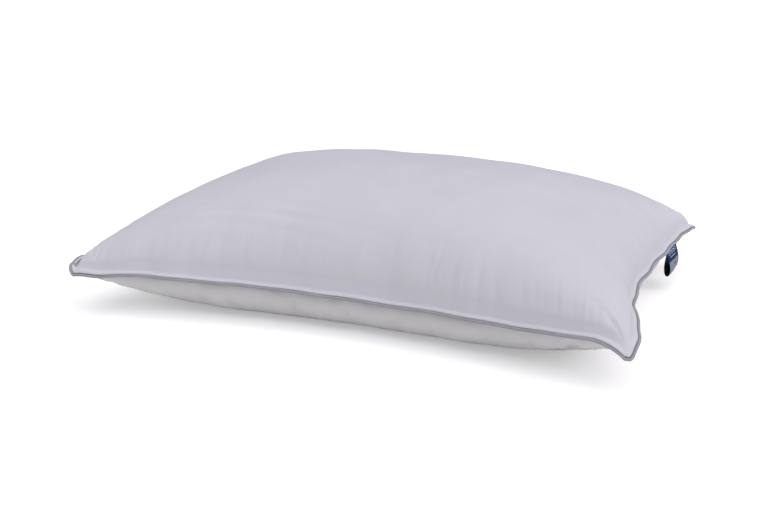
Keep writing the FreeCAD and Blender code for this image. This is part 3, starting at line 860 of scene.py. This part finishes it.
def makeRibbonFace():
    # woven picture side: navy band with a wavy stripe and a short bar, pale blue-grey below,
    # a small rust dash and dark selvedges; v runs down the label, u across it
    r = ribbon
    material, tree, shader, place = startMaterial("wovenRibbonFace", 0.6, specular=0.12)
    parts = addNode(tree, "SeparateXYZ", {0: place})
    across, down = parts.outputs["X"], parts.outputs["Y"]
    grain = useGroup(tree, weaveGroup, place, Threads=ribbon["threads"])
    mottle = useGroup(tree, mottleGroup, place, Size=140.0, Contrast=1.4)
    ground = mixTones(tree, mottle["Mask"], r["slate"], r["mist"])
    picture = mixTones(tree, mathNode(tree, "LESS_THAN", down, r["bandDepth"]), ground, r["navy"])
    swing = mathNode(tree, "SINE", times(tree, across, r["waveRate"]))
    wavy = mathNode(tree, "MULTIPLY_ADD", swing, r["waveDepth"], down)
    inside = between(tree, across, -r["waveHalf"], r["waveHalf"])
    for low, high in r["waves"]:
        stripe = times(tree, between(tree, wavy, low, high), inside)
        picture = mixTones(tree, stripe, picture, r["ice"])
    for colour, top, foot, left, right in (r["bar"], r["dash"]):
        rows, columns = between(tree, down, top, foot), between(tree, across, left, right)
        patch = times(tree, rows, columns)
        picture = mixTones(tree, patch, picture, colour)
    rim = mathNode(tree, "GREATER_THAN", mathNode(tree, "ABSOLUTE", across), r["selvedge"])
    picture = mixTones(tree, rim, picture, r["edge"])
    tree.links.new(picture, shader.inputs["Base Color"])
    rangeRoughness(tree, shader, grain["Height"], 0.5, 0.7)
    addBumps(tree, shader, (grain["Height"], ribbon["weaveDepth"], 0.6))
    return material


def makeRibbonBack():
    material, tree, shader, place = startMaterial("wovenRibbonBack", 0.55, sheen=0.05, specular=0.3)
    grain = useGroup(tree, weaveGroup, place, Threads=ribbon["threads"])
    twoTones(tree, shader, grain["Slub"], ribbon["backDark"], ribbon["backLight"])
    addBumps(tree, shader, (grain["Height"], ribbon["weaveDepth"], 0.6))
    return material


finish = dict(
    upper=makeCambric("cottonCambricUpper", 0.0, cambric["dark"], cambric["light"]),
    # a lighter, warmer copy of the same cloth for the lower panel: painted floor bounce
    lower=makeCambric("cottonCambricLowerPaintedBounce", 1.3, cambric["darkBelowPaintedBounce"], cambric["lightBelowPaintedBounce"]),
    bias=makeBiasStrip(),
    cord=makeYarn("cottonCord", 260.0, 1.6, (0.60, 0.585, 0.55), (0.80, 0.79, 0.76), 0.0003, 0.85),
    thread=makeYarn("sewingThread", 900.0, 2.4, (0.66, 0.65, 0.70), (0.84, 0.84, 0.88), 0.00008, 0.5),
    down=makeDown(),
    ribbonFace=makeRibbonFace(),
    ribbonBack=makeRibbonBack(),
)
print("materials made")


# Pieces.

ring = seamRing()
ring = {key: np.concatenate([rows, rows[:1]]) for key, rows in ring.items()}
openRing = {key: rows[:-1] for key, rows in ring.items()}
moves = blowUp()

hem = dict(
    # section of the sewn edge: share of the flange's width, height over the seam plane
    shares=(0.0, 0.12, 0.27, 0.42, 0.60, 0.78, 0.92, 1.0, 1.02),
    heights=(0.0014, 0.00105, 0.00085, 0.0014, 0.0019, 0.0018, 0.0013, 0.0008, 0.0003),
    setBack=0.0030,  # the lower flange stops short of the upper one and lies flatter
    flatter=0.65,
    ripple=0.00022,
    rippleSpacing=0.0045,
    thickness=0.0005,
)


def makePanel(name, side, move, material, node):
    # one face of the case: its crown with its small forms, and its flange down to the piping
    uLine, vLine = spread(shell["columns"]), spread(shell["rows"])
    u, v = np.meshgrid(uLine, vLine, indexing="ij")
    points = crownGrid(u, v, side)
    if move is not None:
        points = points + fineMove(move, uLine, vLine)
    lift = smallForms(u, v, side)
    if side < 0:
        lift = lift * np.clip((points[..., 2] - puckers["floorGap"]) / puckers["floorFade"], 0, 1)
    points = points + gridNormals(points, side) * lift[..., None]
    points[..., 2] = np.maximum(points[..., 2], 0)
    edge = edgeMask(u.shape)
    points[edge] = crownGrid(u, v, side)[edge]
    half = np.array([shell["flatLength"], shell["flatWidth"]]) / 2
    crown = points, gridFaces(*u.shape, flip=side < 0), np.stack([u, v], -1) * half
    width = shell["flange"] - (hem["setBack"] if side < 0 else 0)
    shares, heights = np.array(hem["shares"]), np.array(hem["heights"])
    out = shares * width
    along = ring["flat"] @ np.array([1.0, 1.7])  # a slanting line, so that no side is level
    ripple = hem["ripple"] * knotNoise(along + 4, 300 + side, hem["rippleSpacing"])
    heights = heights * (hem["flatter"] if side < 0 else 1)
    up = side * (heights + ripple[:, None] * np.sin(math.pi * np.clip(shares, 0, 1)) ** 2)
    up = up + ring["slope"][:, None] * out
    strip, faces, _ = sweepRing(ring["point"], ring["normal"], out[None], up, along, out)
    uv = ring["flat"][:, None, :] + ring["normal"][:, None, :] * out[None, :, None]
    if side > 0:
        faces = faces[:, ::-1]
    piece = addPiece(name, *joinParts((crown, (strip, faces, uv))))
    wall = piece.modifiers.new("cloth", "SOLIDIFY")
    wall.thickness, wall.offset = hem["thickness"], -1
    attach(piece, "pillow")
    dress(piece, material, "cotton_cambric", node)


filling = dict(
    inset=0.0032,
    columns=150,
    rows=104,
    lumpHeight=0.0005,
    lumpSize=0.022,
    edgeFade=0.03,  # share of the half width over which it runs out to the seam
    edgeInset=0.004,  # share of the plan that it stays back there
    floorGap=0.0015,
)


def makeFill():
    # a closed body just inside the case, with the loose lumps of down
    f = filling
    uLine, vLine = spread(f["columns"]), spread(f["rows"])
    u, v = np.meshgrid(uLine, vLine, indexing="ij")
    parts = []
    for side in (1, -1):
        points = crownGrid(u, v, side)
        normal = gridNormals(points, side)
        x, y = flatPlace(u, v)
        rough = f["lumpHeight"] * lumps(x, y, 90 + side, f["lumpSize"], 18) - f["inset"]
        inner = points + normal * rough[..., None]
        reach = np.clip(np.minimum(1 - np.abs(u), 1 - np.abs(v)) / f["edgeFade"], 0, 1)[..., None]
        seam = np.stack([*plan(u, v), footZ + seamRise(u, v)], -1)
        inner = seam + (inner - seam) * reach
        inner[..., :2] *= 1 - f["edgeInset"] * (1 - reach)
        inner[..., 2] = np.maximum(inner[..., 2], f["floorGap"])
        parts.append((inner, gridFaces(*u.shape, flip=side < 0), np.stack([x, y], -1)))
    piece = addPiece("downFill", *joinParts(parts), closed=True)
    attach(piece, "pillow")
    dress(piece, finish["down"], "down_and_feather", "down_fill")


makeFill()
makePanel("topPanel", 1, moves[0], finish["upper"], "top_panel")
makePanel("bottomPanel", -1, moves[1], finish["lower"], "bottom_panel")

piping = dict(
    radius=0.0016,
    bore=0.0012,
    tail=0.0071,  # the seam allowance, inwards from the cord's middle
    tailHalf=0.0004,
    step=0.0021,
    slack=0.00009,
    slackSpacing=0.0055,
    cordRadius=0.00112,
    cordTurns=150.0,
    strandDepth=0.12,
)


def makePiping():
    # bias strip round a cord: a drop-shaped section with its seam allowance, and its bore
    p = piping
    centre, normal, along = evenRing(openRing, shell["pipingOut"], p["step"], 1)
    lip = math.asin(p["tailHalf"] / p["radius"])
    turn = np.linspace(lip, 2 * math.pi - lip, 22)
    radius = p["radius"] + p["slack"] * knotNoise(along + 7, 401, p["slackSpacing"])
    wide, ones = radius[:, None], np.ones((len(along), 1))
    out = np.concatenate([-p["tail"] * ones, -wide * np.cos(turn), -p["tail"] * ones], 1)
    up = np.concatenate([p["tailHalf"] * ones, wide * np.sin(turn), -p["tailHalf"] * ones], 1)
    out, up = np.concatenate([out, out[:, :1]], 1), np.concatenate([up, up[:, :1]], 1)
    around = np.concatenate([[-p["tail"]], turn * p["radius"], [p["tail"] + 0.01, p["tail"] + 0.011]])
    points, faces, uv = sweepRing(centre, normal, out, up, along, around)
    bore = np.linspace(0, 2 * math.pi, 13)
    hollow = sweepRing(centre, normal, -p["bore"] * np.cos(bore), p["bore"] * np.sin(bore), along, bore)
    piece = addPiece("pipingCover", *joinParts(((points, faces[:, ::-1], uv), hollow)))
    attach(piece, "pillow")
    dress(piece, finish["bias"], "cotton_bias_strip", "piping_cover")
    # the cord inside: three strands laid round each other, r = R (1 - d + d |cos(3/2 turn)|)
    ringTurn = np.linspace(0, 2 * math.pi, 19)
    laid = ringTurn[None, :] + p["cordTurns"] * 2 * math.pi * (along / along[-1])[:, None]
    depth = p["strandDepth"]
    radius = p["cordRadius"] * (1 - depth + depth * np.abs(np.cos(1.5 * laid)))
    around = ringTurn * p["cordRadius"]
    piece = addRod("pipingCord", centre, normal, radius, along, ringTurn, around)
    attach(piece, "pillow")
    dress(piece, finish["cord"], "cotton_cord", "piping_cord")


makePiping()

sewing = dict(
    pitch=0.0035,  # one stitch
    perStitch=8,
    threadRadius=0.00022,
    sides=6,
    dip=0.0008,  # how far the thread goes down at each hole
    sway=0.4,  # share of that by which the inner seam moves up and down
    topHeight=0.00105,
    topOffset=0.0016,
    seamOffset=0.0043,
    closingOffset=0.0028,
    closingHalf=0.090,
)


def makeStitches(name, node, offset, height, side, keep=None):
    # one thread along the seam: level along each stitch and drawn down at its two holes
    s = sewing
    centre, normal, along = evenRing(openRing, offset, s["pitch"], s["perStitch"])
    phase = 2 * math.pi * np.arange(len(along)) / s["perStitch"]
    drop = s["dip"] * np.clip(np.cos(phase), 0, 1) ** 2
    if side:
        centre[:, 2] += side * (height - drop)
    else:
        centre[:, 2] += height + s["dip"] * s["sway"] * np.cos(phase / 2)
    radius = np.full(len(along), s["threadRadius"])
    if keep is not None:
        rows = keep(centre)
        centre, normal, along, radius = centre[rows], normal[rows], along[rows], radius[rows]
        radius[[0, -1]] = 0
    turn = np.linspace(0, 2 * math.pi, s["sides"] + 1)
    around = turn * s["threadRadius"]
    piece = addRod(name, centre, normal, radius[:, None], along, turn, around)
    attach(piece, "pillow")
    dress(piece, finish["thread"], "sewing_thread", node)


def closingRows(centre):
    return (centre[:, 0] < 0) & (np.abs(centre[:, 1]) < sewing["closingHalf"])


top = sewing["topOffset"], sewing["topHeight"]
makeStitches("needleThread", "topstitch_needle_thread", *top, 1)
makeStitches("bobbinThread", "topstitch_bobbin_thread", *top, -1)
makeStitches("assemblySeam", "assembly_seam", sewing["seamOffset"], 0.0, 0)
makeStitches("closingStitch", "closing_stitch", sewing["closingOffset"], 0.0020, 1, closingRows)

tag = dict(
    width=0.044,
    drop=0.034,
    neck=0.005,
    belly=0.0026,  # half the loop's thickness where it stands open
    low=1.35,  # above 1 it stands open nearer the fold
    fold=0.0009,  # half thickness at the fold
    lean=0.07,  # it hangs a little outwards
    outward=0.001,
    thickness=0.0004,
    hinge=0.003,  # the hinge below the seam plane
    tuck=0.0046,
    lengthSteps=64,
    widthSteps=26,
    bow=0.0007,
    roll=0.0009,
)


def labelFrame():
    # the seam over the label's width, as a straight line: a point under it, the direction
    # along it and the direction out of the pillow
    joint = frame["joints"][0]
    pivot = np.array(joint["pos_m"], float)
    along = -np.array(joint["axis"], float)
    seam = ringAt(openRing, shell["flange"])
    near = (seam[:, 0] > halfLength / 2) & (np.abs((seam - pivot) @ along) < tag["width"] / 2)
    middle = seam[near].mean(0)
    along = np.linalg.svd(seam[near] - middle)[2][0]
    along *= np.sign(along[1])
    outward = np.cross(along, [0, 0, 1.0])
    outward /= np.linalg.norm(outward)
    origin = middle - outward * 2 * tag["thickness"] - np.array([0, 0, tag["hinge"]])
    origin = origin + along * ((pivot - origin) @ along)
    origin = origin + outward * tag["outward"]
    print("label hinge off the joint by", np.round(origin - pivot, 5))
    return origin, along, outward


def loopLine():
    # a folded ribbon seen from its end: neck, a flank that bellies out, a tight fold, and the
    # same back; half width = belly * sin(pi t^low)^0.8 over the depth t, plus the fold's own
    t = tag
    depth = np.linspace(0, 1, 60)
    half = t["thickness"] / 2 + t["belly"] * np.sin(math.pi * depth**t["low"]) ** 0.8
    half = half + t["fold"] * np.sqrt(depth) * np.sqrt(1 - depth**24)
    down = -t["neck"] - depth * (t["drop"] - t["neck"] - t["thickness"] / 2)
    flank = np.stack([half, down], -1)
    back = flank[::-1] * np.array([-1.0, 1.0])
    head = np.array([[t["thickness"] / 2, 0.0]])
    return np.concatenate([head, flank, back, head * np.array([-1.0, 1.0])])


def evenLine(line, count):
    # points at even steps along a line, and how far along each is
    along = distances(line)
    at = np.linspace(0, along[-1], count)
    return np.stack([np.interp(at, along, column) for column in line.T], -1), at


def relax(line, times):
    # rounds the corners between straight runs: each point moves to its neighbours' mean
    for _ in range(times):
        line[1:-1] = (line[:-2] + 2 * line[1:-1] + line[2:]) / 4
    return line


def ribbonSolid(name, line, at, where, thickness, soft=None):
    # a ribbon of even thickness along a line in the label's plane, closed at its rims;
    # gives the piece and how many faces its outer side has
    origin, along, outward = where
    tangent = np.gradient(line, axis=0)
    tangent /= np.linalg.norm(tangent, axis=1, keepdims=True)
    facing = np.stack([-tangent[:, 1], tangent[:, 0]], -1)
    across = np.linspace(-0.5, 0.5, tag["widthSteps"]) * tag["width"]
    sag = soft(at[:, None], across[None, :]) if soft else np.zeros((len(at), len(across)))
    leaning = line[:, None, 0] - tag["lean"] * np.minimum(line[:, None, 1], 0)
    layers = []
    for sign in (0.5, -0.5):
        shift = sag + sign * thickness
        out = leaning + facing[:, None, 0] * shift
        up = line[:, None, 1] + facing[:, None, 1] * shift
        level = np.stack([up * 0, up * 0, up], -1)
        layers.append(origin + out[..., None] * outward + level + across[None, :, None] * along)
    front, back = layers
    uv = np.stack(np.broadcast_arrays(across[None, :], at[:, None]), -1)
    parts = [(front, gridFaces(*front.shape[:2]), uv), (back, gridFaces(*front.shape[:2]), uv)]
    for first, second, places in (
        (front[0], back[0], uv[0]),
        (front[-1], back[-1], uv[-1]),
        (front[:, 0], back[:, 0], uv[:, 0]),
        (front[:, -1], back[:, -1], uv[:, -1]),
    ):
        rim = np.stack([first, second]), gridFaces(2, len(first)), np.stack([places, places])
        parts.append(rim)
    return addPiece(name, *joinParts(parts), weld=1e-6, closed=True), len(parts[0][1])


def labelSag(at, across):
    # the folded ribbon is never quite flat: it bows across its width and rolls at one end
    low = np.sin(np.clip(at / (2 * tag["drop"]), 0, 1) * math.pi) ** 2
    bow = tag["bow"] * np.cos(math.pi * across / tag["width"])
    return low * (bow + tag["roll"] * np.sin(at * 95 + across * 60))


def makeLabel():
    # the sewn-in end, then the loop that hangs from it, picture side out and plain inside
    t = tag
    where = labelFrame()
    top = t["hinge"] - t["thickness"]
    path = np.array([[0.0008 - t["tuck"], top], [-0.0006, top], [0, top - 0.0006], [0, 0.0002]])
    line, at = evenLine(path, 16)
    tail = ribbonSolid("labelTail", relax(line, 2), at, where, 1.4 * t["thickness"])[0]
    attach(tail, "pillow")
    dress(tail, finish["ribbonBack"], "woven_ribbon", "label_tail")
    loop, at = evenLine(loopLine(), t["lengthSteps"])
    piece, outer = ribbonSolid("wovenLabel", relax(loop, 2), at, where, t["thickness"], labelSag)
    dress(piece, finish["ribbonFace"], "woven_ribbon", "woven_label")
    piece.data.materials.append(finish["ribbonBack"])
    sides = np.ones(len(piece.data.polygons), np.int32)
    sides[:outer] = 0
    piece.data.polygons.foreach_set("material_index", sides)
    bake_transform(piece)


makeLabel()
print("pieces made")


# Stage: pale floor, soft light and the camera.


def makeFloor():
    mesh = bpy.data.meshes.new("floor")
    wide, level = stage["floorReach"], stage["floorLevel"]
    corners = [(-wide, -wide, level), (wide, -wide, level), (wide, wide, level), (-wide, wide, level)]
    mesh.from_pydata(corners, [], [(0, 1, 2, 3)])
    floor = addObject("floor", mesh)
    material = bpy.data.materials.new("paleFloor")
    material.use_nodes = True
    shader = material.node_tree.nodes["Principled BSDF"]
    shader.inputs["Base Color"].default_value = (*stage["floor"], 1)
    shader.inputs["Roughness"].default_value = 0.9
    shader.inputs["Specular IOR Level"].default_value = 0.0
    shader.inputs["Emission Color"].default_value = (*stage["floorGlow"], 1)
    seen = addNode(material.node_tree, "LightPath").outputs["Is Camera Ray"]
    material.node_tree.links.new(seen, shader.inputs["Emission Strength"])
    mesh.materials.append(material)


def aim(thing, azimuth, elevation, target, distance):
    # puts a camera or lamp at that distance from the target, looking at it; azimuth counts
    # from the front to the right
    turn, tilt = math.radians(azimuth), math.radians(elevation)
    back = Vector((math.sin(turn) * math.cos(tilt), -math.cos(turn) * math.cos(tilt), math.sin(tilt)))
    thing.location = Vector(target) + back * distance
    thing.rotation_euler = (-back).to_track_quat("-Z", "Y").to_euler()


def addLamp(name, azimuth, elevation, strength, softness, colour):
    # distant soft light from that direction
    data = bpy.data.lights.new(name, "SUN")
    data.energy, data.angle, data.color = strength, math.radians(softness), colour
    lamp = addObject(name, data)
    aim(lamp, azimuth, elevation, (0, 0, 0), stage["lampDistance"])


stage = dict(
    floor=(0.95, 0.93, 0.91),
    floorReach=30.0,
    floorLevel=-0.0004,
    floorGlow=(0.36, 0.365, 0.37),  # only to the eye: it lights nothing
    sky=(0.93, 0.94, 1.0),
    skyStrength=0.30,
    skySeen=1.1,  # its brightness to the eye
    lampDistance=3.0,
    lamps=(
        # name, azimuth, elevation, strength, softness in degrees, colour
        ("overheadLight", 20.0, 78.0, 1.52, 75.0, (0.945, 0.935, 1.0)),
        ("keyLight", 88.0, 40.0, 0.78, 50.0, (0.955, 0.945, 1.0)),
    ),
)

view = dict(
    azimuth=21.67,  # round from the front, towards the right
    elevation=16.89,
    distance=1.329,
    target=(0.0184, -0.1149, 0.08),
    lens=52.98,
)


def makeCamera():
    data = bpy.data.cameras.new("camera")
    data.lens, data.sensor_width, data.clip_start = view["lens"], 36.0, 0.01
    camera = addObject("camera", data)
    aim(camera, view["azimuth"], view["elevation"], view["target"], view["distance"])
    bpy.context.scene.camera = camera


makeFloor()
for lamp in stage["lamps"]:
    addLamp(*lamp)
world = bpy.data.worlds.new("studio")
world.use_nodes = True
sky = world.node_tree.nodes["Background"]
sky.inputs["Color"].default_value = (*stage["sky"], 1)
seen = addNode(world.node_tree, "LightPath").outputs["Is Camera Ray"]
levels = {"Value": seen, "To Min": stage["skyStrength"], "To Max": stage["skySeen"]}
bright = addNode(world.node_tree, "MapRange", levels)
world.node_tree.links.new(bright.outputs[0], sky.inputs["Strength"])
bpy.context.scene.world = world
bpy.context.scene.view_settings.view_transform = "Standard"
makeCamera()
